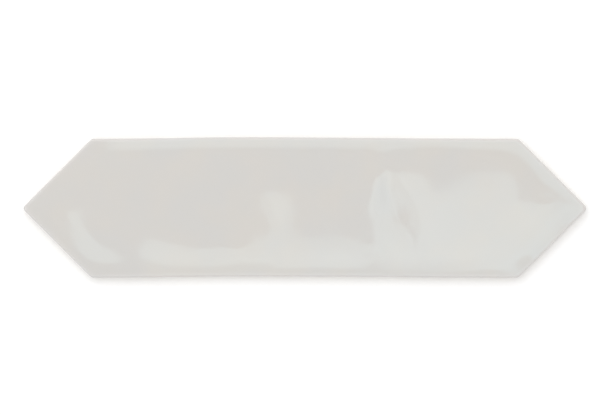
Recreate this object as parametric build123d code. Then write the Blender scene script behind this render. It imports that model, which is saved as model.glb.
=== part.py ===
from build123d import *

import math
import os

# Picket tile: one pressed, glazed and fired ceramic piece, a strip with a right-angled point at each end.
# It lies on its back. X runs along its length, Y across it, and Z is up, out of the glazed face.
# The origin is the middle of the plane that its back beds on. All sizes are in millimetres.

# Outline
LENGTH = 300.0  # over the rounded points
WIDTH = 74.2  # square across the long sides
POINT_ANGLE = 90.0  # degrees, at each end
SIDE_BOW = 0.8  # both long sides curve towards +Y by this much, as they came out of the kiln
CROWN_X = -30.0  # where the bow is greatest
POINT_RADIUS = 2.0
SHOULDER_RADIUS = 3.0
LEAST_RADIUS = 0.5  # of a corner of the outline that is moved in a long way

# Section
THICKNESS = 8.6  # back to the mean level of the face
SIDE_DRAFT = 1.5  # degrees by which the walls lean in towards the back
BACK_CHAMFER = 0.7
ARRIS_RADIUS = 1.2
CUSHION_DROP = 0.8  # how far the face has fallen where it reaches the outline
CUSHION_REACH = 5.0  # the fall fades to about a third at this distance in from the outline

# Swells and hollows that the hand-finished die leaves in the face: centre X, Y, reach along X, Y, and height
SWELLS = (
    (-96, 10, 30, 20, 0.12),
    (-88, -12, 10, 8, 0.06),
    (-54, -14, 22, 7, -0.055),
    (-23, 9, 11, 12, 0.30),
    (-18, -8, 8, 13, 0.18),
    (12, -22, 26, 9, 0.05),
    (36, 4, 11, 22, 0.27),
    (38, -17, 9, 9, 0.12),
    (47, 19, 13, 10, 0.15),
    (47, 3, 7, 7, -0.24),
    (51, -4, 7, 7, -0.21),
    (55, -11, 7, 7, -0.16),
    (59, -18, 7, 7, -0.10),
    (84, -2, 24, 16, 0.05),
    (129, 2, 12, 13, 0.22),
)
SURFACE_STEP = 4.0  # spacing of the points that the face is fitted through
SURFACE_MARGIN = 3.0  # how far the fitted face runs past the outline before it is trimmed
SURFACE_TOLERANCE = 0.01
ABOVE_FACE = 2.0  # the walls run up to here over the mean level, to be trimmed by the face

# Keyed back: shallow drafted pockets between low ribs, inside a plain rim
POCKET_PITCH = 13.0
POCKET_SIDE = 10.6
POCKET_CORNER = 1.2  # each corner is cut off square to its diagonal by this much along both sides
POCKET_DEPTH = 0.8
POCKET_DRAFT = 25.0  # degrees
POCKET_ROWS = 5
RIM = 4.1  # plain rim along the slanted edges; the rows stop further in along the long sides
SMALLEST_SHARE = 0.25  # where the rim leaves less than this share of a pocket, there is none

HALF_POINT = math.radians(POINT_ANGLE / 2)
MIDLINE_Y = -SIDE_BOW / 2  # both points lie on this line
SHARP_X = LENGTH / 2 + POINT_RADIUS * (1 / math.sin(HALF_POINT) - 1)  # the points, were they sharp
SHOULDER_X = SHARP_X - WIDTH / 2 / math.tan(HALF_POINT)
ARRIS_LEVEL = THICKNESS - CUSHION_DROP - ARRIS_RADIUS  # the walls are full size here


def bowed_side(end_x, level):
    """A long side from left to right: two arcs that share a tangent at the crown of the bow."""
    crown = (CROWN_X, level + SIDE_BOW)
    left_run = end_x + CROWN_X
    right_run = end_x - CROWN_X
    left_radius = (left_run**2 + SIDE_BOW**2) / (2 * SIDE_BOW)
    right_radius = (right_run**2 + SIDE_BOW**2) / (2 * SIDE_BOW)
    return [
        RadiusArc((-end_x, level), crown, left_radius),
        RadiusArc(crown, (end_x, level), right_radius),
    ]


def outline(inset):
    """The tile's plan, moved in by the inset all round, with its corners rounded."""
    half_width = WIDTH / 2 - inset
    point_x = SHARP_X - inset / math.sin(HALF_POINT)
    shoulder_x = point_x - half_width / math.tan(HALF_POINT)
    near_level = MIDLINE_Y - half_width
    far_level = MIDLINE_Y + half_width
    edges = bowed_side(shoulder_x, near_level) + bowed_side(shoulder_x, far_level)
    for side in (-1, 1):
        for level in (near_level, far_level):
            edges.append(Line((side * point_x, MIDLINE_Y), (side * shoulder_x, level)))
    plan = make_face(edges)
    corners = plan.vertices().group_by(Axis.X)
    plan = fillet(corners[0] + corners[-1], max(POINT_RADIUS - inset, LEAST_RADIUS))
    corners = plan.vertices().group_by(Axis.X)
    return fillet(corners[1] + corners[-2], max(SHOULDER_RADIUS - inset, LEAST_RADIUS))


def lean(x):
    """How far the bow carries the tile's middle towards +Y, at a place along it."""
    end_x = math.copysign(SHOULDER_X, x - CROWN_X)
    share = min((x - CROWN_X) / (end_x - CROWN_X), 1)
    return SIDE_BOW * math.cos(share * math.pi / 2) ** 2


def face_height(x, y):
    """Level of the glazed face above the back: the mean level, the swells, and the fall to the edges."""
    swell = 0.0
    for centre_x, centre_y, reach_x, reach_y, height in SWELLS:
        away = ((x - centre_x) / reach_x) ** 2 + ((y - centre_y) / reach_y) ** 2
        swell += height * math.exp(-away)
    off_middle = y - MIDLINE_Y - lean(x)
    nearness = 0.0
    for across in (-off_middle, off_middle):
        to_long_side = WIDTH / 2 - across
        nearness += math.exp(-2 * to_long_side / CUSHION_REACH)
        for along in (-x, x):
            to_slant = (SHARP_X - along) * math.sin(HALF_POINT) - across * math.cos(HALF_POINT)
            nearness += math.exp(-2 * to_slant / CUSHION_REACH)
    fall = math.sqrt(nearness)
    return THICKNESS + swell - 2 * CUSHION_DROP * fall / (1 + fall)


def glazed_face():
    """The face as one smooth surface that runs a little past the outline."""
    half_x = LENGTH / 2 + SURFACE_MARGIN
    half_y = (WIDTH + SIDE_BOW) / 2 + SURFACE_MARGIN
    steps_x = round(2 * half_x / SURFACE_STEP)
    steps_y = round(2 * half_y / SURFACE_STEP)
    rows = []
    for i in range(steps_x + 1):
        x = half_x * (2 * i / steps_x - 1)
        row = []
        for j in range(steps_y + 1):
            y = half_y * (2 * j / steps_y - 1)
            row.append((x, y, face_height(x, y)))
        rows.append(row)
    return Face.make_surface_from_array_of_points(rows, tol=SURFACE_TOLERANCE, min_deg=3, max_deg=5)


def pressed_blank():
    """Walls that draw in towards the back, trimmed by the face, with both edges all round broken."""
    top = THICKNESS + ABOVE_FACE
    draw = math.tan(math.radians(SIDE_DRAFT))
    back_plan = outline(ARRIS_LEVEL * draw)
    top_plan = Pos(0, 0, top) * outline((ARRIS_LEVEL - top) * draw)
    walls = loft([back_plan, top_plan], ruled=True)
    trimmed = walls - extrude(glazed_face(), amount=top, dir=(0, 0, 1))
    face = trimmed.faces().sort_by(Axis.Z)[-1]
    rounded = fillet(face.edges(), ARRIS_RADIUS)
    bed = rounded.faces().sort_by(Axis.Z)[0]
    return chamfer(bed.edges(), BACK_CHAMFER)


def pockets():
    """The pockets of the keyed back, cut off parallel to the outline where they meet the rim."""
    columns = 2 * math.floor(LENGTH / 2 / POCKET_PITCH) + 1
    inside_rim = outline(RIM)
    pressed = []
    middle = Pos(0, MIDLINE_Y)
    for place in GridLocations(POCKET_PITCH, POCKET_PITCH, columns, POCKET_ROWS):
        square = Rectangle(POCKET_SIDE, POCKET_SIDE)
        full = middle * place * chamfer(square.vertices(), POCKET_CORNER)
        kept = full & inside_rim
        if kept is not None and kept.area > SMALLEST_SHARE * POCKET_SIDE**2:
            pressed.append(extrude(kept, amount=POCKET_DEPTH, taper=POCKET_DRAFT))
    return pressed


picket_tile = pressed_blank() - pockets()
picket_tile.label = "picket_tile"

os.makedirs("parts", exist_ok=True)
export_step(picket_tile, "parts/picket_tile.step")
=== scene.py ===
import math

import bpy
import numpy as np
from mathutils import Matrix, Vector
from mathutils.geometry import delaunay_2d_cdt


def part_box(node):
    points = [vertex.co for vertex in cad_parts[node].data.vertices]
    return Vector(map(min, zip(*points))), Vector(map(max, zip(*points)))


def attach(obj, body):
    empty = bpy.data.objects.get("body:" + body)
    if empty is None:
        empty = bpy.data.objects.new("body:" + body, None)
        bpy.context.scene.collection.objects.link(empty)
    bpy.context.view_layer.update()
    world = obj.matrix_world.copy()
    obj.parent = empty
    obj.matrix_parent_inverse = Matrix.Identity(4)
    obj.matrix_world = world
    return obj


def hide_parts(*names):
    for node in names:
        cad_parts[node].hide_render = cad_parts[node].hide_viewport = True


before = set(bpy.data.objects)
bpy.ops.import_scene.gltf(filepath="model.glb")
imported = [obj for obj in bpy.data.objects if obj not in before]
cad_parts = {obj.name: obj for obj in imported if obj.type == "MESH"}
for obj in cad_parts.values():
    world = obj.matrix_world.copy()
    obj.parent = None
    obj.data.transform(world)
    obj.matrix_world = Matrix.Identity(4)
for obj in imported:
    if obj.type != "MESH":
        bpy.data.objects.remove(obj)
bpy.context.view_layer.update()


# Plan of the tile
# The tile is pressed from clay powder in a steel die, so its plan is the die's: two long sides and a
# right-angled point at each end, with every corner slightly rounded. It isn't ground after firing,
# so both long sides keep a bow from the kiln.
MM = 0.001
# Both long sides curve towards +Y by this much, most of all at this X
SIDE_BOW = 0.8 * MM
CROWN_X = -30 * MM
POINT_RADIUS = 2.0 * MM
SHOULDER_RADIUS = 3.0 * MM
# Steps of the mesh along the sides and round the corners
LONG_STEPS, SLANT_STEPS, POINT_STEPS, SHOULDER_STEPS = 220, 52, 8, 5

tile_low, tile_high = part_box("picket_tile")
half_width = (tile_high.y - tile_low.y - SIDE_BOW) / 2
middle_y = -SIDE_BOW / 2
sharp_x = tile_high.x + POINT_RADIUS * (math.sqrt(2) - 1)
shoulder_x = sharp_x - half_width


def lean(x):
    """How far the bow carries the tile's middle towards +Y, at a place along it."""
    end_x = np.where(x > CROWN_X, shoulder_x, -shoulder_x)
    share = np.minimum((x - CROWN_X) / (end_x - CROWN_X), 1)
    return SIDE_BOW * np.cos(share * math.pi / 2) ** 2


def corner_arc(corner, facing, turn, radius, steps):
    """Points round a corner that looks out along the angle facing and turns through turn."""
    outward = np.array([math.cos(facing), math.sin(facing)])
    centre = corner - outward * radius / math.cos(turn / 2)
    angles = facing + turn * (np.arange(steps + 1) / steps - 0.5)
    return centre + radius * np.column_stack([np.cos(angles), np.sin(angles)])


def plan_loop(inset, ease=0.0):
    """The straight-sided outline moved in by the inset, counter-clockwise; ease rounds its corners more."""
    point_x = sharp_x - inset * math.sqrt(2)
    half = half_width - inset
    blunt_x = point_x - half
    # Each corner's place, the way it looks out in degrees, and the steps along the side that follows
    corners = (
        (point_x, 0, 0, SLANT_STEPS),
        (blunt_x, half, 67.5, LONG_STEPS),
        (-blunt_x, half, 112.5, SLANT_STEPS),
        (-point_x, 0, 180, SLANT_STEPS),
        (-blunt_x, -half, 247.5, LONG_STEPS),
        (blunt_x, -half, 292.5, SLANT_STEPS),
    )
    arcs = []
    for x, y, facing, _ in corners:
        if y == 0:
            turn, radius, steps = 90, POINT_RADIUS + ease, POINT_STEPS
        else:
            turn, radius, steps = 45, SHOULDER_RADIUS + ease, SHOULDER_STEPS
        arcs.append(corner_arc(np.array([x, y]), math.radians(facing), math.radians(turn), radius, steps))
    loop = []
    for arc, following, (_, _, _, steps) in zip(arcs, arcs[1:] + arcs[:1], corners):
        shares = np.arange(1, steps)[:, None] / steps
        loop += [arc, arc[-1] + (following[0] - arc[-1]) * shares]
    return np.vstack(loop)


def bowed(loop):
    """A straight-sided loop with the kiln's bow put in."""
    return np.column_stack([loop[:, 0], loop[:, 1] + middle_y + lean(loop[:, 0])])


def outward_of(loop):
    """The level direction out of the tile at each point of a loop."""
    along = np.roll(loop, -1, axis=0) - np.roll(loop, 1, axis=0)
    along /= np.linalg.norm(along, axis=1)[:, None]
    return np.column_stack([along[:, 1], -along[:, 0]])


# Glazed face
# The face is the clay's top, waved by hand in the die, under a coat of glossy glaze that has melted
# level over the small unevenness, left the larger swells and hollows, and drawn back at the edges
# into a soft cushion.

# Swells and hollows of the pressed clay: centre X and Y, reach along X and Y, and height, in millimetres
SWELLS = (
    (-96, 10, 30, 20, 0.12),
    (-88, -12, 10, 8, 0.06),
    (-54, -14, 22, 7, -0.055),
    (-23, 9, 11, 12, 0.30),
    (-18, -8, 8, 13, 0.18),
    (12, -22, 26, 9, 0.05),
    (36, 4, 11, 22, 0.27),
    (38, -17, 9, 9, 0.12),
    (47, 19, 13, 10, 0.15),
    (47, 3, 7, 7, -0.24),
    (51, -4, 7, 7, -0.21),
    (55, -11, 7, 7, -0.16),
    (59, -18, 7, 7, -0.10),
    (84, -2, 24, 16, 0.05),
    (129, 2, 12, 13, 0.22),
)
# Finer ones that the melted glaze has left, given in the same way. They show only in what it reflects.
FINE_SWELLS = (
    (-69.1, -23.8, 12.5, 6.3, -0.04),
    (-33.6, -22.7, 5.2, 4, 0.049),
    (-25.7, -10.9, 5.8, 5.5, 0.022),
    (-25.2, 14.3, 4, 6.4, 0.024),
    (-23.8, 22.7, 8.3, 9.1, -0.044),
    (-21.9, -10.6, 6.2, 13.2, -0.061),
    (-18.8, 6.6, 5.9, 6.5, -0.066),
    (-15.2, 0, 4.7, 6.5, -0.034),
    (-14.4, -7.4, 5.9, 5.7, -0.04),
    (-9.7, 10, 8.3, 4.7, 0.009),
    (27.1, -13.6, 5.3, 9, 0.028),
    (33.8, 17.9, 4.1, 4.7, 0.007),
    (34.1, -22.3, 6.1, 4.4, 0.075),
    (35.4, 25.3, 5.6, 9.2, -0.091),
    (36.8, 25.9, 3.8, 3.8, 0.014),
    (38.6, -23.8, 4.1, 7.1, 0.087),
    (38.7, -2.1, 4.8, 4.5, -0.024),
    (38.7, 16.4, 4.5, 3.9, 0.084),
    (44.2, 12.4, 4.2, 8.3, -0.194),
    (46, 17.8, 3.8, 5.2, 0.024),
    (50.5, 15, 8.4, 8.7, -0.124),
    (52.2, 4, 7.7, 22.4, 0.112),
    (54.6, -6.9, 6.3, 7.3, 0.011),
    (56.8, -12.8, 6.1, 11.7, 0.059),
    (60.7, -19.9, 3.8, 11.6, 0.065),
    (62.8, 23.8, 6.9, 4.5, 0.011),
    (95.1, 16.2, 12, 7.7, -0.034),
    (111.2, -30.9, 9.7, 6.6, -0.112),
    (119.5, 2.1, 8.6, 7.6, 0.068),
    (127.9, 4.9, 9.7, 4.8, -0.084),
)
# Ripples of the glaze: length in millimetres, heading in degrees, start in radians, height in millimetres
RIPPLES = (
    (17, 20, 0.0, 0.0006),
    (13, 75, 2.0, 0.0004),
    (11, 140, 4.0, 0.0003),
    (8, 50, 1.0, 0.00012),
    (7, 110, 5.0, 0.0001),
)
CUSHION_DROP = 0.8 * MM
CUSHION_REACH = 5.0 * MM
SLOPE_STEP = 0.01 * MM
LATTICE = 1.05 * MM
BORDER_CLEARANCE = 0.6 * LATTICE
BAND = 3.2 * MM
FILL_INSIDE, JOIN_NEARER = 1, 1e-6
# A point's normal is left to the mesh, or looks straight down
UNSET, DOWN = (0, 0, 0), (0, 0, -1)
# A face's finish, by its place among the tile's materials
GLAZE, CLAY = 0, 1
# Glaze depth at a point: 0 is thinnest and 1 is pooled. On bare clay it is how far glaze has soaked in.
EVEN_DEPTH = 0.5
# Colours, and tints over them, by place on their ramps
GLAZE_SHADES = ((0.36, (0.688, 0.662, 0.624)), (0.64, (0.672, 0.657, 0.632)))
# The tint at depth 0 is partly thin glaze and partly painted light that lifts the arris out of its shade.
DEPTH_TINTS_AND_PAINTED_ARRIS_LIGHT = ((0.0, (1.09, 1.09, 1.12)), (EVEN_DEPTH, (1, 1, 1)), (1.0, (0.94, 0.945, 0.94)))
# Cloudy patterns: scale, detail and roughness
SHADE_CLOUDS = (42.0, 2.0, 0.5)
PEEL_CLOUDS = (260.0, 1.0, 0.4)
PEEL_HEIGHT = 0.0005 * MM
GLAZE_ROUGHNESS = 0.035
CERAMIC_IOR = 1.5

# The tile's one closed mesh is gathered here: points with normals and glaze depths, faces with finishes
points = []
normals_of_points = []
glaze_depths = []
faces = []
finishes = []


def relief(x, y):
    """The face's height over its mean level: swells, hollows, ripples and the fall to the edges."""
    height = np.zeros_like(x)
    for centre_x, centre_y, reach_x, reach_y, rise in SWELLS + FINE_SWELLS:
        away = ((x / MM - centre_x) / reach_x) ** 2 + ((y / MM - centre_y) / reach_y) ** 2
        height += rise * MM * np.exp(-away)
    for length, heading, start, rise in RIPPLES:
        along = x * math.cos(math.radians(heading)) + y * math.sin(math.radians(heading))
        height += rise * MM * np.sin(2 * math.pi * along / (length * MM) + start)
    across = y - middle_y - lean(x)
    nearness = 0
    for side in (-1, 1):
        nearness = nearness + np.exp(-2 * (half_width - side * across) / CUSHION_REACH)
        for end in (-1, 1):
            to_slant = (sharp_x - end * x - side * across) / math.sqrt(2)
            nearness = nearness + np.exp(-2 * to_slant / CUSHION_REACH)
    fall = np.sqrt(nearness)
    return height - 2 * CUSHION_DROP * fall / (1 + fall)


def face_normals(plan):
    """Directions square to the face, from its slope along X and Y."""
    x, y = plan[:, 0], plan[:, 1]
    slope_x = (relief(x + SLOPE_STEP, y) - relief(x - SLOPE_STEP, y)) / (2 * SLOPE_STEP)
    slope_y = (relief(x, y + SLOPE_STEP) - relief(x, y - SLOPE_STEP)) / (2 * SLOPE_STEP)
    square = np.column_stack([-slope_x, -slope_y, np.ones_like(x)])
    return square / np.linalg.norm(square, axis=1)[:, None]


def add_points(plan, level, normals=UNSET, depth=EVEN_DEPTH):
    """Adds points at a level and returns their numbers, for the faces that will join them."""
    first = len(points)
    levels = np.broadcast_to(level, len(plan))
    points.extend(zip(plan[:, 0], plan[:, 1], levels))
    normals_of_points.extend(np.broadcast_to(normals, (len(plan), 3)))
    glaze_depths.extend([depth] * len(plan))
    return list(range(first, len(points)))


def add_face(corners, finish):
    """Adds one face of the mesh, given by its points' numbers, with its finish."""
    faces.append(tuple(corners))
    finishes.append(finish)


def bridge(outer, inner, finish):
    """A band of quads between two loops, looking up or out where both run counter-clockwise from above."""
    for k in range(len(outer)):
        after = (k + 1) % len(outer)
        add_face((outer[k], outer[after], inner[after], inner[k]), finish)


def depth_in(loop, plan):
    """How deep each point of the plan lies inside a straight-sided loop."""
    run = np.roll(loop, -1, axis=0) - loop
    inward = np.column_stack([-run[:, 1], run[:, 0]]) / np.linalg.norm(run, axis=1)[:, None]
    deepest = np.full(len(plan), np.inf)
    for start, normal in zip(loop, inward):
        deepest = np.minimum(deepest, (plan - start) @ normal)
    return deepest


def filled(plan, loops):
    """Triangles inside the loops: for each, its corners' places in the plan and the loops round it."""
    _, _, triangles, sources, _, loops_round = delaunay_2d_cdt(plan, [], loops, FILL_INSIDE, JOIN_NEARER)
    return [([sources[corner][0] for corner in one], around) for one, around in zip(triangles, loops_round)]


def node_tools(tree):
    """Empties a node tree, and returns the functions that add a node and link two of them."""
    tree.nodes.clear()

    def add(kind, **values):
        made = tree.nodes.new(kind)
        for key, value in values.items():
            if hasattr(made, key):
                setattr(made, key, value)
            else:
                made.inputs[key.replace("_", " ")].default_value = value
        return made

    return add, tree.links.new


def new_material(name):
    """A material with an empty node tree, and the two functions that fill it."""
    material = bpy.data.materials.new(name)
    material.use_nodes = True
    return material, *node_tools(material.node_tree)


def blend_of(add, stops):
    """A colour ramp with those stops, each a place and a colour."""
    ramp = add("ShaderNodeValToRGB")
    elements = ramp.color_ramp.elements
    for _ in stops[2:]:
        elements.new(0.5)
    for element, (place, colour) in zip(elements, stops):
        element.position = place
        element.color = (*colour, 1)
    return ramp


def tinted(add, link, colour, amount, stops):
    """The colour times a tint that the amount picks from those stops."""
    tint = blend_of(add, stops)
    link(amount, tint.inputs["Fac"])
    product = add("ShaderNodeVectorMath", operation="MULTIPLY")
    link(colour, product.inputs[0])
    link(tint.outputs["Color"], product.inputs[1])
    return product.outputs["Vector"]


def cloudy(add, link, place, clouds):
    """A cloudy value over the surface; the larger the scale, the smaller its patches."""
    scale, detail, roughness = clouds
    noise = add("ShaderNodeTexNoise", Scale=scale, Detail=detail, Roughness=roughness)
    link(place, noise.inputs["Vector"])
    return noise.outputs["Fac"]


def glossy_glaze():
    """Warm grey glaze, deeper where pooled, paler on the arris from thin glaze plus painted light."""
    material, add, link = new_material("glossy_glaze")
    place = add("ShaderNodeTexCoord").outputs["Object"]
    level = blend_of(add, GLAZE_SHADES)
    link(cloudy(add, link, place, SHADE_CLOUDS), level.inputs["Fac"])
    depth = add("ShaderNodeAttribute", attribute_name="glaze_depth")
    # Painted light: the thin end of the depth tint brightens the arris beyond what its thin glaze gives.
    colour = tinted(add, link, level.outputs["Color"], depth.outputs["Fac"], DEPTH_TINTS_AND_PAINTED_ARRIS_LIGHT)
    skin = add("ShaderNodeBump", Strength=1.0, Distance=PEEL_HEIGHT)
    link(cloudy(add, link, place, PEEL_CLOUDS), skin.inputs["Height"])
    surface = add("ShaderNodeBsdfPrincipled", Roughness=GLAZE_ROUGHNESS, IOR=CERAMIC_IOR)
    link(colour, surface.inputs["Base Color"])
    link(skin.outputs["Normal"], surface.inputs["Normal"])
    output = add("ShaderNodeOutputMaterial")
    link(surface.outputs["BSDF"], output.inputs["Surface"])
    return material


border = plan_loop(BAND, ease=BAND / 2)
rows_y = np.arange(-half_width, half_width, LATTICE * math.sqrt(3) / 2)
lattice = []
for row, y in enumerate(rows_y):
    row_x = np.arange(-sharp_x, sharp_x, LATTICE) + LATTICE / 2 * (row % 2)
    lattice.append(np.column_stack([row_x, np.full_like(row_x, y)]))
lattice = np.vstack(lattice)
lattice = lattice[depth_in(border, lattice) > BORDER_CLEARANCE]

face_plan = bowed(np.vstack([border, lattice]))
face_relief = relief(face_plan[:, 0], face_plan[:, 1])
mean_level = tile_high.z - face_relief.max()
face_points = add_points(face_plan, mean_level + face_relief, face_normals(face_plan))
for corners, _ in filled([Vector(place) for place in face_plan / MM], [list(range(len(border)))]):
    add_face([face_points[corner] for corner in corners], GLAZE)


# Rolled edge and glaze run
# The glaze rolls over the arris, where it is thinnest, and runs a few millimetres down the wall. It
# stops there in a soft uneven bead that stands a little proud of the bare clay.
ARRIS_RADIUS = 1.2 * MM
ARRIS_STEPS = 7
# Glaze depth round the arris; its thinnest part also takes the most painted light from the depth tint.
ARRIS_DEPTH, ARRIS_THINNING = 0.15, 0.1
SIDE_DRAFT = math.radians(1.5)
# Loops from the face's border out to the arris: inset and glaze depth
BAND_LOOPS = ((2.55 * MM, 0.48), (2.0 * MM, 0.42), (1.55 * MM, 0.34))
# Loops from the arris down to the bead: share of the way, and the glaze depth of them all
WALL_SHARES, WALL_DEPTH = (0.33, 0.66), 0.4
# The bead: height above the glaze's lower edge and inset, both in millimetres, and glaze depth
BEAD = ((0.90, 0.00, 0.6), (0.55, -0.04, 0.9), (0.25, -0.05, 1.0), (0.08, 0.02, 0.7), (0.00, 0.12, 0.2))
# The lower edge's waves: length in millimetres, start in radians, and height in millimetres
RUN_LEVEL = 4.1 * MM
RUN_WAVES = ((83, 0.4, 0.45), (37, 2.1, 0.35), (19, 4.0, 0.2), (9, 1.0, 0.1))
# Its drips: place along the edge from the right point, reach and fall, in millimetres
DRIPS = (
    (60, 5, 0.9),
    (171, 4, 0.6),
    (268, 6, 1.1),
    (402, 4, 0.8),
    (471, 6, 0.7),
    (590, 5, 1.0),
    (660, 4, 0.6),
)
# The tile's edge wanders in by up to this much, in waves of a length in millimetres and a start in radians
EDGE_WANDER = 0.1 * MM
WANDER_WAVES = ((143, 1.0), (61, 3.0), (31, 5.0), (17, 0.5))

outline = plan_loop(0)
steps_round = np.linalg.norm(np.roll(outline, -1, axis=0) - outline, axis=1)
round_edge = np.concatenate([[0], np.cumsum(steps_round)[:-1]])
girth = steps_round.sum()
outward = outward_of(bowed(outline))
level_outward = np.column_stack([outward, np.zeros(len(outward))])
skirt = [face_points[: len(border)]]


def carry_down(loop, finish):
    """Joins the skirt's next loop to the one before it; the skirt runs from the face down to the bed."""
    bridge(loop, skirt[-1], finish)
    skirt.append(loop)


def round_wave(length, start):
    """A wave along the edge that meets itself, about that many millimetres long."""
    turns = round(girth / (length * MM))
    return np.sin(2 * math.pi * turns * round_edge / girth + start)


wander = EDGE_WANDER * (1 + sum(round_wave(*wave) for wave in WANDER_WAVES) / len(WANDER_WAVES)) / 2
for inset, depth in BAND_LOOPS:
    plan = bowed(plan_loop(inset, ease=inset / 2)) - outward * wander[:, None] * (1 - inset / BAND)
    level = mean_level + relief(plan[:, 0], plan[:, 1])
    carry_down(add_points(plan, level, face_normals(plan), depth), GLAZE)

for step in range(ARRIS_STEPS + 1):
    roll = math.pi / 2 * step / ARRIS_STEPS
    inset = ARRIS_RADIUS * (1 - math.sin(roll))
    plan = bowed(plan_loop(inset, ease=inset / 2)) - outward * wander[:, None]
    level = mean_level + relief(plan[:, 0], plan[:, 1]) - ARRIS_RADIUS * (1 - math.cos(roll))
    turned = face_normals(plan) * math.cos(roll) + level_outward * math.sin(roll)
    turned /= np.linalg.norm(turned, axis=1)[:, None]
    depth = ARRIS_DEPTH + ARRIS_THINNING * math.cos(2 * roll)
    carry_down(add_points(plan, level, turned, depth), GLAZE)
arris_foot = level


def wall_loop(level, inset, normals=UNSET, depth=EVEN_DEPTH):
    """A loop on the wall, which draws in towards the back; the inset is from the glazed wall's line."""
    drawn_in = (arris_foot - level) * math.tan(SIDE_DRAFT)
    plan = bowed(outline) - outward * (wander + drawn_in + inset)[:, None]
    return add_points(plan, level, normals, depth)


run_line = RUN_LEVEL + sum(rise * MM * round_wave(length, start) for length, start, rise in RUN_WAVES)
for place, reach, fall in DRIPS:
    run_line = run_line - fall * MM * np.exp(-(((round_edge / MM - place) / reach) ** 2))
bead_top = run_line + BEAD[0][0] * MM
for share in WALL_SHARES:
    carry_down(wall_loop(arris_foot + (bead_top - arris_foot) * share, 0, depth=WALL_DEPTH), GLAZE)
for above, inset, depth in BEAD:
    carry_down(wall_loop(run_line + above * MM, inset * MM, depth=depth), GLAZE)


# Bare back
# Below the glaze the pressed clay is bare. The back has a plain rim and rows of shallow drafted pockets,
# stamped by the lower die, that the bedding adhesive grips. The ribs between them are what it lies on.
SOAKED, BARE = 1.0, 0.0
CLAY_INSET = 0.2 * MM
# Loops of the bare wall close below the glaze's lower edge, in millimetres
SOAKED_LOOPS = (0.10, 0.16)
# Loops from there down to the heel: share of the way, and how far glaze has soaked in
CLAY_LOOPS = ((0.2, 0.6), (0.45, 0.2), (0.75, BARE))
# The heel round the bed: level, and inset from the bare wall, in millimetres
HEEL = ((1.05, 0.0), (0.82, 0.03), (0.62, 0.14), (0.16, 0.60), (0.04, 0.78), (0.0, 1.02))
POCKET_PITCH = 13.0 * MM
POCKET_SIDE = 10.6 * MM
POCKET_CORNER = 1.2 * MM
POCKET_ROWS = 5
RIM = 4.1 * MM
SMALLEST_SHARE = 0.25
# A pocket's side from the ribs to its floor: inset from its mouth and level above the bed, in millimetres
POCKET_SECTION = ((-0.20, 0.0), (-0.06, 0.05), (0.05, 0.18), (0.29, 0.64), (0.40, 0.76), (0.62, 0.8))
POCKET_ARC_STEPS = 3
FIRED_CLAY = ((0.38, (0.69, 0.63, 0.54)), (0.62, (0.76, 0.71, 0.63)))
GRAIN_TINTS = ((0.35, (0.9, 0.89, 0.88)), (0.65, (1.04, 1.04, 1.04)))
SPECK_TINTS = ((0.19, (0.8, 0.72, 0.62)), (0.23, (1, 1, 1)))
SOAKED_TINTS = ((BARE, (1, 1, 1)), (SOAKED, (0.9, 0.87, 0.83)))
# The ribs are washed pale where they lie on the kiln's shelf, up to this level
WASH_LEVEL = 0.35 * MM
WASH_TINTS = ((0.3, (1.08, 1.1, 1.13)), (1.0, (1, 1, 1)))
MOTTLE_CLOUDS = (60.0, 3.0, 0.6)
GRAIN_CLOUDS = (1400.0, 4.0, 0.6)
SPECK_CLOUDS = (950.0, 0.0, 0.5)
DRAG_CLOUDS = (700.0, 2.0, 0.5)
# The die drags the wall's clay along as the tile leaves it, so the marks run up and down
DRAG_SQUEEZE = (1, 1, 0.05)
DRAG_STRENGTH, DRAG_HEIGHT = 0.5, 0.06 * MM
PIT_STRENGTH, PIT_HEIGHT = 0.4, 0.1 * MM
CLAY_ROUGHNESS = 0.85

for below in SOAKED_LOOPS:
    carry_down(wall_loop(run_line - below * MM, CLAY_INSET, depth=SOAKED), CLAY)
clay_top = run_line - SOAKED_LOOPS[-1] * MM
heel_top = HEEL[0][0] * MM
for share, depth in CLAY_LOOPS:
    carry_down(wall_loop(clay_top + (heel_top - clay_top) * share, CLAY_INSET, depth=depth), CLAY)
for level, inset in HEEL:
    flat = DOWN if level == 0 else UNSET
    carry_down(wall_loop(level * MM, CLAY_INSET + inset * MM, flat, BARE), CLAY)
bed_edge = skirt[-1]


def cut_at_rim(shape, end, side):
    """A convex shape without what lies past the rim of one slanted edge."""
    past = [end * x + side * (y - middle_y) - rim_x for x, y in shape]
    kept = []
    for k, here in enumerate(shape):
        after = (k + 1) % len(shape)
        if past[k] <= 0:
            kept.append(here)
        if past[k] * past[after] < 0:
            kept.append(here + (shape[after] - here) * past[k] / (past[k] - past[after]))
    return kept


def area_of(shape):
    """The area of a shape whose corners run counter-clockwise."""
    turned = shape[1:] + shape[:1]
    return sum(a[0] * b[1] - b[0] * a[1] for a, b in zip(shape, turned)) / 2


def softened(shape, inset, radius):
    """A convex shape moved in by the inset, with its corners rounded."""
    count = len(shape)
    runs = [shape[(k + 1) % count] - shape[k] for k in range(count)]
    runs = [run / np.linalg.norm(run) for run in runs]
    loop = []
    for k in range(count):
        before, after = runs[k - 1], runs[k]
        turn = math.acos(float(np.clip(before @ after, -1, 1)))
        inward = (after - before) / np.linalg.norm(after - before)
        corner = shape[k] + inward * inset / math.cos(turn / 2)
        facing = math.atan2(-inward[1], -inward[0])
        loop.append(corner_arc(corner, facing, turn, radius, POCKET_ARC_STEPS))
    return np.vstack(loop)


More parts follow.
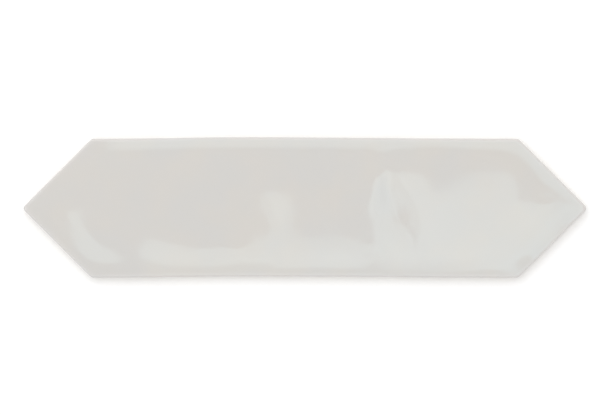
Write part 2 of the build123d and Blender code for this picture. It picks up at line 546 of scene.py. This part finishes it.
pocket_shapes = []
columns = math.floor(tile_high.x / POCKET_PITCH)
rows = POCKET_ROWS // 2
reach = POCKET_SIDE / 2
rim_x = sharp_x - RIM * math.sqrt(2)
for column in range(-columns, columns + 1):
    for row in range(-rows, rows + 1):
        middle = np.array([column * POCKET_PITCH, row * POCKET_PITCH + middle_y])
        shape = [middle + reach * np.array(corner) for corner in ((-1, -1), (1, -1), (1, 1), (-1, 1))]
        for end in (-1, 1):
            for side in (-1, 1):
                shape = cut_at_rim(shape, end, side)
        if len(shape) > 2 and area_of(shape) > SMALLEST_SHARE * POCKET_SIDE**2:
            pocket_shapes.append(shape)

pocket_mouths = []
for shape in pocket_shapes:
    pocket = []
    for inset, level in POCKET_SECTION:
        plan = softened(shape, inset * MM, POCKET_CORNER - inset * MM)
        flat = DOWN if level in (POCKET_SECTION[0][1], POCKET_SECTION[-1][1]) else UNSET
        pocket.append(add_points(plan, level * MM, flat, BARE))
    for deeper, loop in zip(pocket[1:], pocket):
        bridge(deeper, loop, CLAY)
    add_face(reversed(pocket[-1]), CLAY)
    pocket_mouths.append(pocket[0])

bed = bed_edge + [number for mouth in pocket_mouths for number in mouth]
place_in_bed = {number: place for place, number in enumerate(bed)}
bed_loops = [[place_in_bed[number] for number in loop] for loop in [bed_edge] + pocket_mouths]
for corners, around in filled([Vector(points[number][:2]) / MM for number in bed], bed_loops):
    if len(around) == 1:
        add_face([bed[corner] for corner in reversed(corners)], CLAY)


def bare_clay():
    """Unglazed fired clay: matt, grained, mottled, warmer where glaze soaked in, paler on the ribs."""
    material, add, link = new_material("bare_clay")
    place = add("ShaderNodeTexCoord").outputs["Object"]
    fired = blend_of(add, FIRED_CLAY)
    link(cloudy(add, link, place, MOTTLE_CLOUDS), fired.inputs["Fac"])
    grain = cloudy(add, link, place, GRAIN_CLOUDS)
    colour = tinted(add, link, fired.outputs["Color"], grain, GRAIN_TINTS)
    specks = cloudy(add, link, place, SPECK_CLOUDS)
    colour = tinted(add, link, colour, specks, SPECK_TINTS)
    soaked = add("ShaderNodeAttribute", attribute_name="glaze_depth")
    colour = tinted(add, link, colour, soaked.outputs["Fac"], SOAKED_TINTS)
    axes = add("ShaderNodeSeparateXYZ")
    link(place, axes.inputs["Vector"])
    height = add("ShaderNodeMapRange", From_Max=WASH_LEVEL)
    link(axes.outputs["Z"], height.inputs["Value"])
    colour = tinted(add, link, colour, height.outputs["Result"], WASH_TINTS)

    squeezed = add("ShaderNodeVectorMath", operation="MULTIPLY")
    link(place, squeezed.inputs[0])
    squeezed.inputs[1].default_value = DRAG_SQUEEZE
    drag = cloudy(add, link, squeezed.outputs["Vector"], DRAG_CLOUDS)
    dragged = add("ShaderNodeBump", Strength=DRAG_STRENGTH, Distance=DRAG_HEIGHT)
    link(drag, dragged.inputs["Height"])
    pits = add("ShaderNodeBump", Strength=PIT_STRENGTH, Distance=PIT_HEIGHT)
    link(grain, pits.inputs["Height"])
    link(dragged.outputs["Normal"], pits.inputs["Normal"])
    surface = add("ShaderNodeBsdfPrincipled", Roughness=CLAY_ROUGHNESS, IOR=CERAMIC_IOR)
    link(colour, surface.inputs["Base Color"])
    link(pits.outputs["Normal"], surface.inputs["Normal"])
    output = add("ShaderNodeOutputMaterial")
    link(surface.outputs["BSDF"], output.inputs["Surface"])
    return material


# Fired tile
# Clay and glaze are fired together into one ceramic piece, so the face, the glaze run and the bare
# back are one closed shape with two finishes.
def new_piece(name, corners, corner_faces):
    """An object with that mesh, put into the scene."""
    mesh = bpy.data.meshes.new(name)
    mesh.from_pydata(corners, [], corner_faces)
    piece = bpy.data.objects.new(name, mesh)
    bpy.context.scene.collection.objects.link(piece)
    return piece


tile = new_piece("glazed_picket_tile", [tuple(map(float, point)) for point in points], faces)
tile.data.polygons.foreach_set("material_index", finishes)
tile.data.polygons.foreach_set("use_smooth", [True] * len(faces))
tile.data.attributes.new("glaze_depth", "FLOAT", "POINT").data.foreach_set("value", glaze_depths)
tile_normals = [tuple(map(float, normal)) for normal in normals_of_points]
tile.data.normals_split_custom_set_from_vertices(tile_normals)
tile.data.materials.append(glossy_glaze())
tile.data.materials.append(bare_clay())
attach(tile, "root")
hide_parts("picket_tile")


# Studio floor
# A plain matt white floor, wide enough for every side of the tile to be seen against it. It keeps the
# tile's soft shadow, and the camera sees it lifted towards white, more so the further it is away.
FLOOR_SIZE = 14.0
FLOOR_DROP = 0.02 * MM
FLOOR_WHITE = 0.93
NEAR_LIFT, FAR_LIFT = 0.13, 0.6
LIFT_REACH = 5.0

half = FLOOR_SIZE / 2
floor_corners = [(-half, -half, 0), (half, -half, 0), (half, half, 0), (-half, half, 0)]
floor = new_piece("studio_floor", floor_corners, [(0, 1, 2, 3)])
floor.location.z = -FLOOR_DROP
material, add, link = new_material("white_floor")
seen = add("ShaderNodeLightPath")
matt = add("ShaderNodeBsdfDiffuse", Color=(FLOOR_WHITE, FLOOR_WHITE, FLOOR_WHITE, 1))
lift = add("ShaderNodeEmission")
place = add("ShaderNodeTexCoord")
away = add("ShaderNodeVectorMath", operation="LENGTH")
link(place.outputs["Object"], away.inputs[0])
rise = add("ShaderNodeMapRange", From_Max=LIFT_REACH, To_Min=NEAR_LIFT, To_Max=FAR_LIFT)
link(away.outputs["Value"], rise.inputs["Value"])
link(rise.outputs["Result"], lift.inputs["Strength"])
both = add("ShaderNodeAddShader")
link(matt.outputs["BSDF"], both.inputs[0])
link(lift.outputs["Emission"], both.inputs[1])
choice = add("ShaderNodeMixShader")
link(seen.outputs["Is Camera Ray"], choice.inputs["Fac"])
link(matt.outputs["BSDF"], choice.inputs[1])
link(both.outputs["Shader"], choice.inputs[2])
output = add("ShaderNodeOutputMaterial")
link(choice.outputs["Shader"], output.inputs["Surface"])
floor.data.materials.append(material)


# Studio cards
# Pale cards hung high over the tile, whose reflections are the bright patches in the glaze: a large one
# to the lower right, one past the far edge, and a bent one to the left. Places on them are given as
# directions from the tile: how far a line to them goes along X and Y for each metre that it rises.
CARD_HEIGHT = 7.2
CARD_TINT, COOL_TINT = (0.79, 1.0, 1.0), (0.62, 1.0, 1.14)
COOL_FROM, COOL_TO = 0.03, 0.16
# The large card by X: its lower and upper edge, then its brightness at the lower edge, half-way and at the
# upper edge. Just below the lower edge it fades, and it runs on, dim, to its foot.
LARGE_CARD_STATIONS = (
    (-0.0468, -0.0425, -0.0471, 0.8, 1, 0.55),
    (-0.04, -0.1134, -0.0353, 0.72, 0.78, 0.54),
    (-0.03, -0.1407, -0.0317, 0.61, 0.62, 0.66),
    (-0.0225, -0.1297, -0.0243, 0.78, 0.74, 0.57),
    (-0.0177, -0.1045, -0.0226, 0.86, 0.67, 0.57),
    (-0.01, -0.1521, -0.0128, 0.7, 0.62, 0.57),
    (0, -0.1496, -0.0102, 0.74, 0.79, 0.53),
    (0.015, -0.1562, -0.001, 0.69, 0.97, 0.47),
    (0.03, -0.1723, 0.0037, 0.45, 0.91, 0.79),
    (0.06, -0.1446, 0.0296, 0.81, 0.84, 0.59),
    (0.085, -0.1372, 0.0337, 0.87, 0.72, 0.63),
    (0.12, -0.1207, 0.0499, 0.91, 0.64, 0.71),
    (0.145, -0.1185, 0.0682, 0.83, 0.56, 0.48),
    (0.17, -0.1433, 0.0827, 0.66, 0.73, 0.5),
    (0.2, -0.1226, 0.097, 0.68, 0.7, 0.68),
    (0.35, -0.0904, 0.189, 0.62, 0.62, 0.62),
)
FADE_RUN, FADED_LEVEL = 0.008, 0.34
FOOT_Y, FOOT_LEVEL = -0.6, 0.38
LARGE_CARD = (
    [(x, FOOT_Y, FOOT_LEVEL) for x, *_ in LARGE_CARD_STATIONS],
    [(x, low - FADE_RUN, FADED_LEVEL) for x, low, *_ in LARGE_CARD_STATIONS],
    [(x, low, level) for x, low, _, level, _, _ in LARGE_CARD_STATIONS],
    [(x, (low + high) / 2, level) for x, low, high, _, level, _ in LARGE_CARD_STATIONS],
    [(x, high, level) for x, _, high, _, _, level in LARGE_CARD_STATIONS],
)
# The far card by X: its dark near edge, where it has grown bright, and how bright that is
FAR_CARD_STATIONS = (
    (-0.088, 0.115, 0.160, 0),
    (-0.06, 0.115, 0.160, 1),
    (0.018, 0.115, 0.160, 1),
    (0.033, 0.145, 0.175, 1),
    (0.05, 0.115, 0.160, 1),
    (0.30, 0.015, 0.060, 1),
)
FAR_EDGE_Y = 0.3
FAR_CARD = (
    [(x, near, 0) for x, near, _, _ in FAR_CARD_STATIONS],
    [(x, bright, level) for x, _, bright, level in FAR_CARD_STATIONS],
    [(x, FAR_EDGE_Y, level) for x, _, _, level in FAR_CARD_STATIONS],
)
# The bent card, even in brightness: X and Y of its inner edge and of its outer edge
BENT_CARD_STATIONS = (
    (-0.076, -0.006, -0.094, -0.014),
    (-0.081, -0.018, -0.103, -0.039),
    (-0.084, -0.028, -0.127, -0.066),
    (-0.083, -0.033, -0.149, -0.094),
    (-0.078, -0.037, -0.153, -0.102),
    (-0.067, -0.043, -0.133, -0.108),
    (-0.062, -0.050, -0.098, -0.111),
    (-0.056, -0.079, -0.057, -0.1105),
)
BENT_CARD = (
    [(x, y, 1) for x, y, _, _ in BENT_CARD_STATIONS],
    [(x, y, 1) for _, _, x, y in BENT_CARD_STATIONS],
)
# Each card, with its brightness where it is full
CARDS = {"large_card": (2.15, LARGE_CARD), "far_card": (1.45, FAR_CARD), "bent_card": (1.5, BENT_CARD)}

for name, (strength, card_rows) in CARDS.items():
    count = len(card_rows[0])
    card_points = [(x * CARD_HEIGHT, y * CARD_HEIGHT, CARD_HEIGHT) for row in card_rows for x, y, _ in row]
    card_faces = []
    for first in range(0, count * (len(card_rows) - 1), count):
        for k in range(first, first + count - 1):
            card_faces.append((k, k + 1, k + count + 1, k + count))
    card = new_piece(name, card_points, card_faces)
    brightness = [level for row in card_rows for _, _, level in row]
    card.data.attributes.new("brightness", "FLOAT", "POINT").data.foreach_set("value", brightness)
    card.visible_camera = False
    card.visible_diffuse = False
    card.visible_shadow = False
    material, add, link = new_material(name + "_light")
    level = add("ShaderNodeAttribute", attribute_name="brightness")
    soft = add("ShaderNodeMapRange", interpolation_type="SMOOTHSTEP", To_Max=strength)
    link(level.outputs["Fac"], soft.inputs["Value"])
    place = add("ShaderNodeTexCoord")
    axes = add("ShaderNodeSeparateXYZ")
    link(place.outputs["Object"], axes.inputs["Vector"])
    cool_from, cool_to = COOL_FROM * CARD_HEIGHT, COOL_TO * CARD_HEIGHT
    coolness = add("ShaderNodeMapRange", From_Min=cool_from, From_Max=cool_to)
    link(axes.outputs["X"], coolness.inputs["Value"])
    tint = blend_of(add, ((0.0, CARD_TINT), (1.0, COOL_TINT)))
    link(coolness.outputs["Result"], tint.inputs["Fac"])
    glow = add("ShaderNodeEmission")
    link(tint.outputs["Color"], glow.inputs["Color"])
    link(soft.outputs["Result"], glow.inputs["Strength"])
    output = add("ShaderNodeOutputMaterial")
    link(glow.outputs["Emission"], output.inputs["Surface"])
    card.data.materials.append(material)


# Overhead lamp
# One broad soft lamp hung over the tile and a little past its far side, which models the edges gently.
LAMP_SIZE = 2.4
LAMP_PLACE = (-0.5, 0.9, 2.6)
LAMP_POWER = 29.0

lamp_data = bpy.data.lights.new("overhead_lamp", "AREA")
lamp_data.size = LAMP_SIZE
lamp_data.energy = LAMP_POWER
lamp = bpy.data.objects.new("overhead_lamp", lamp_data)
lamp.location = LAMP_PLACE
lamp.rotation_euler = (-Vector(LAMP_PLACE)).to_track_quat("-Z", "Y").to_euler()
lamp.visible_camera = False
lamp.visible_glossy = False
bpy.context.scene.collection.objects.link(lamp)


# Room
# Even light from all round, at a plain level. The background is white, and the glaze reflects a room
# that is white low down, with paler bands of windows, and dimmer overhead.
ROOM_LEVEL = 0.74
# Height from 0, level with the tile, to 1, straight overhead, and the room's brightness there
REFLECTED_ROOM = (
    (0.0, 1.0), (0.05, 0.92), (0.11, 0.45), (0.245, 0.3), (0.262, 1.3), (0.412, 1.3),
    (0.43, 0.3), (0.69, 0.3), (0.71, 1.3), (0.85, 1.3), (0.87, 0.25),
)
WHITE = (1, 1, 1, 1)

world = bpy.data.worlds.new("studio_room")
bpy.context.scene.world = world
world.use_nodes = True
add, link = node_tools(world.node_tree)
seen = add("ShaderNodeLightPath")
place = add("ShaderNodeTexCoord")
upward = add("ShaderNodeSeparateXYZ")
link(place.outputs["Generated"], upward.inputs["Vector"])
shade = blend_of(add, [(height, (level, level, level)) for height, level in REFLECTED_ROOM])
shade.color_ramp.interpolation = "EASE"
link(upward.outputs["Z"], shade.inputs["Fac"])
glossy = add("ShaderNodeBackground")
link(shade.outputs["Color"], glossy.inputs["Color"])
even = add("ShaderNodeBackground", Color=WHITE, Strength=ROOM_LEVEL)
white = add("ShaderNodeBackground", Color=WHITE)
reflected = add("ShaderNodeMixShader")
link(seen.outputs["Is Glossy Ray"], reflected.inputs["Fac"])
link(even.outputs["Background"], reflected.inputs[1])
link(glossy.outputs["Background"], reflected.inputs[2])
whole = add("ShaderNodeMixShader")
link(seen.outputs["Is Camera Ray"], whole.inputs["Fac"])
link(reflected.outputs["Shader"], whole.inputs[1])
link(white.outputs["Background"], whole.inputs[2])
output = add("ShaderNodeOutputWorld")
link(whole.outputs["Shader"], output.inputs["Surface"])


# Camera
# It looks straight down from high up through a long lens, so the tile shows without perspective. The
# tile's length takes up TILE_SHARE of the picture's width.
CAMERA_HEIGHT = 2.4
TILE_SHARE = 0.92
SENSOR = 36.0
CAMERA_SIGHT = 100

camera_data = bpy.data.cameras.new("camera")
camera_data.sensor_width = SENSOR
camera_data.lens = SENSOR * CAMERA_HEIGHT * TILE_SHARE / (tile_high.x - tile_low.x)
camera_data.clip_end = CAMERA_SIGHT
camera = bpy.data.objects.new("camera", camera_data)
camera.location = (0, 0, CAMERA_HEIGHT)
bpy.context.scene.collection.objects.link(camera)
bpy.context.scene.camera = camera
bpy.context.scene.view_settings.view_transform = "Standard"
